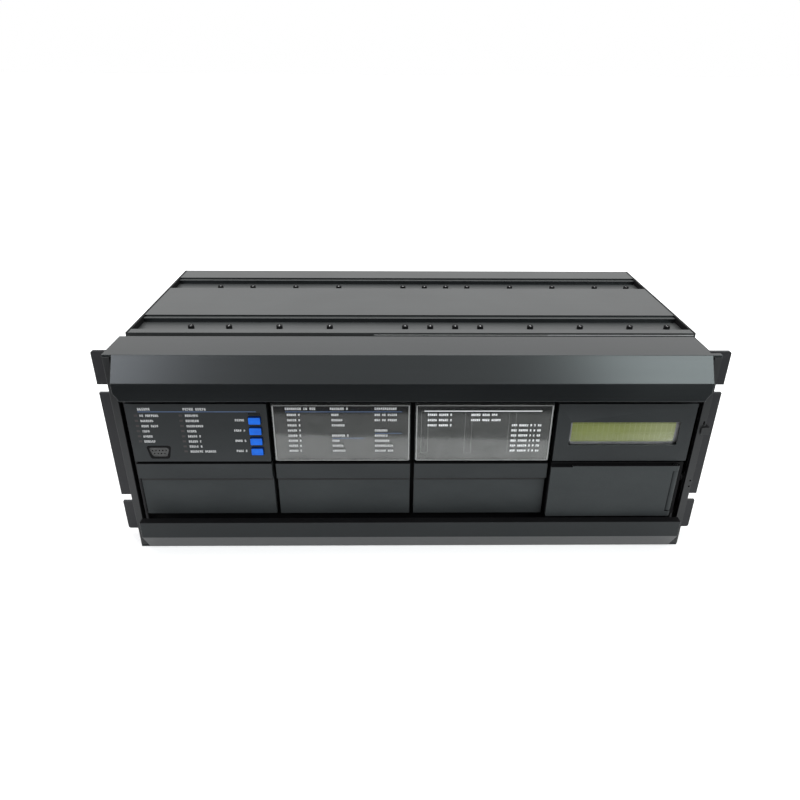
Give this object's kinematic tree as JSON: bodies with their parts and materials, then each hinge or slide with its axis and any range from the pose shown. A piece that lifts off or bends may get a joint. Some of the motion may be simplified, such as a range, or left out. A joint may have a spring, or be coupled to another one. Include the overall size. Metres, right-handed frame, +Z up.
{
  "type": "protection relay",
  "caption": "Rack-mounted protection relay: grooved metal case with plug-in modules and rear terminals, behind a hinged front door with visor bars, lamp panels, buttons, display and keypad.",
  "frame": {"origin": "centre of the bounding box, at the underside of the case", "axes": "+X to the right seen from the front, +Y to the rear, +Z up"},
  "size_m": [0.4826, 0.2566, 0.175],
  "materials": {
    "black_paint": "semi-gloss",
    "panel_paint": "fine texture",
    "steel": "zinc plated",
    "dark_steel": "blackened",
    "board_green": "lacquered",
    "black_plastic": "moulded",
    "white_plastic": "moulded",
    "blue_plastic": "smooth",
    "lamp_red": "diffused",
    "label_card": "printed",
    "clear": "clear",
    "display": "liquid crystal",
    "brass": "nickel plated"
  },
  "bodies": {
    "case": {"chassis_top": "black_paint", "chassis_bottom": "black_paint", "left_side_plate": "black_paint", "right_side_plate": "black_paint", "left_rack_bracket": "black_paint", "right_rack_bracket": "black_paint", "bracket_screws": "dark_steel", "guide_screws": "dark_steel", "card_guides": "black_plastic", "backplane": "board_green", "bus_sockets": "black_plastic", "rear_panel": "black_paint", "rear_screws": "dark_steel", "terminal_blocks": "black_plastic", "terminal_screws": "brass", "power_module": "board_green", "processor_module": "board_green", "comms_module": "board_green", "input_modules": "board_green", "contact_modules": "board_green", "ejector_clips": "white_plastic", "upper_hinge_arm": "dark_steel", "lower_hinge_arm": "dark_steel", "hinge_washers": "white_plastic", "latch_keepers": "steel"},
    "front_door": {"top_visor": "black_paint", "bottom_visor": "black_paint", "left_rail": "black_paint", "right_rail": "black_paint", "carrier_plate": "dark_steel", "hinge_pins": "steel", "latch_rivets": "steel", "status_panel": "panel_paint", "lamp_panel_middle": "panel_paint", "lamp_panel_right": "panel_paint", "display_panel": "panel_paint", "blank_panel_left": "panel_paint", "blank_panel_middle": "panel_paint", "blank_panel_right": "panel_paint", "keypad_base": "panel_paint", "keypad_mat": "black_plastic", "lamps": "lamp_red", "label_middle": "label_card", "label_right": "label_card", "cover_middle": "clear", "cover_right": "clear", "lcd_module": "display", "lcd_window": "clear", "port_shell": "steel", "port_insert": "black_plastic", "status_board": "board_green", "push_switches": "black_plastic"},
    "latch": {"latch_slide": "steel"},
    "reset_button": {"reset_button": "blue_plastic"},
    "user_button_1": {"user_button_1": "blue_plastic"},
    "user_button_2": {"user_button_2": "blue_plastic"},
    "user_button_3": {"user_button_3": "blue_plastic"},
    "keypad_door": {"keypad_door": "panel_paint", "keypad_pins": "steel"}
  },
  "joints": [
    {"name": "door_swing", "type": "hinge", "parent": "case", "child": "front_door", "pos_m": [-0.214, -0.1112, 0.0875], "axis": [0, 0, -1], "range_deg": [0, 105]},
    {"name": "latch_slide", "type": "slide", "parent": "front_door", "child": "latch", "axis": [0, 0, -1], "range_m": [0, 0.006]},
    {"name": "reset_press", "type": "slide", "parent": "front_door", "child": "reset_button", "axis": [0, 1, 0], "range_m": [0, 0.0015], "stiffness_N_per_m": 600},
    {"name": "user_press_1", "type": "slide", "parent": "front_door", "child": "user_button_1", "axis": [0, 1, 0], "range_m": [0, 0.0015], "stiffness_N_per_m": 600},
    {"name": "user_press_2", "type": "slide", "parent": "front_door", "child": "user_button_2", "axis": [0, 1, 0], "range_m": [0, 0.0015], "stiffness_N_per_m": 600},
    {"name": "user_press_3", "type": "slide", "parent": "front_door", "child": "user_button_3", "axis": [0, 1, 0], "range_m": [0, 0.0015], "stiffness_N_per_m": 600},
    {"name": "keypad_swing", "type": "hinge", "parent": "front_door", "child": "keypad_door", "pos_m": [0.209, -0.1182, 0.0575], "axis": [0, 0, 1], "range_deg": [0, 110]}
  ]
}
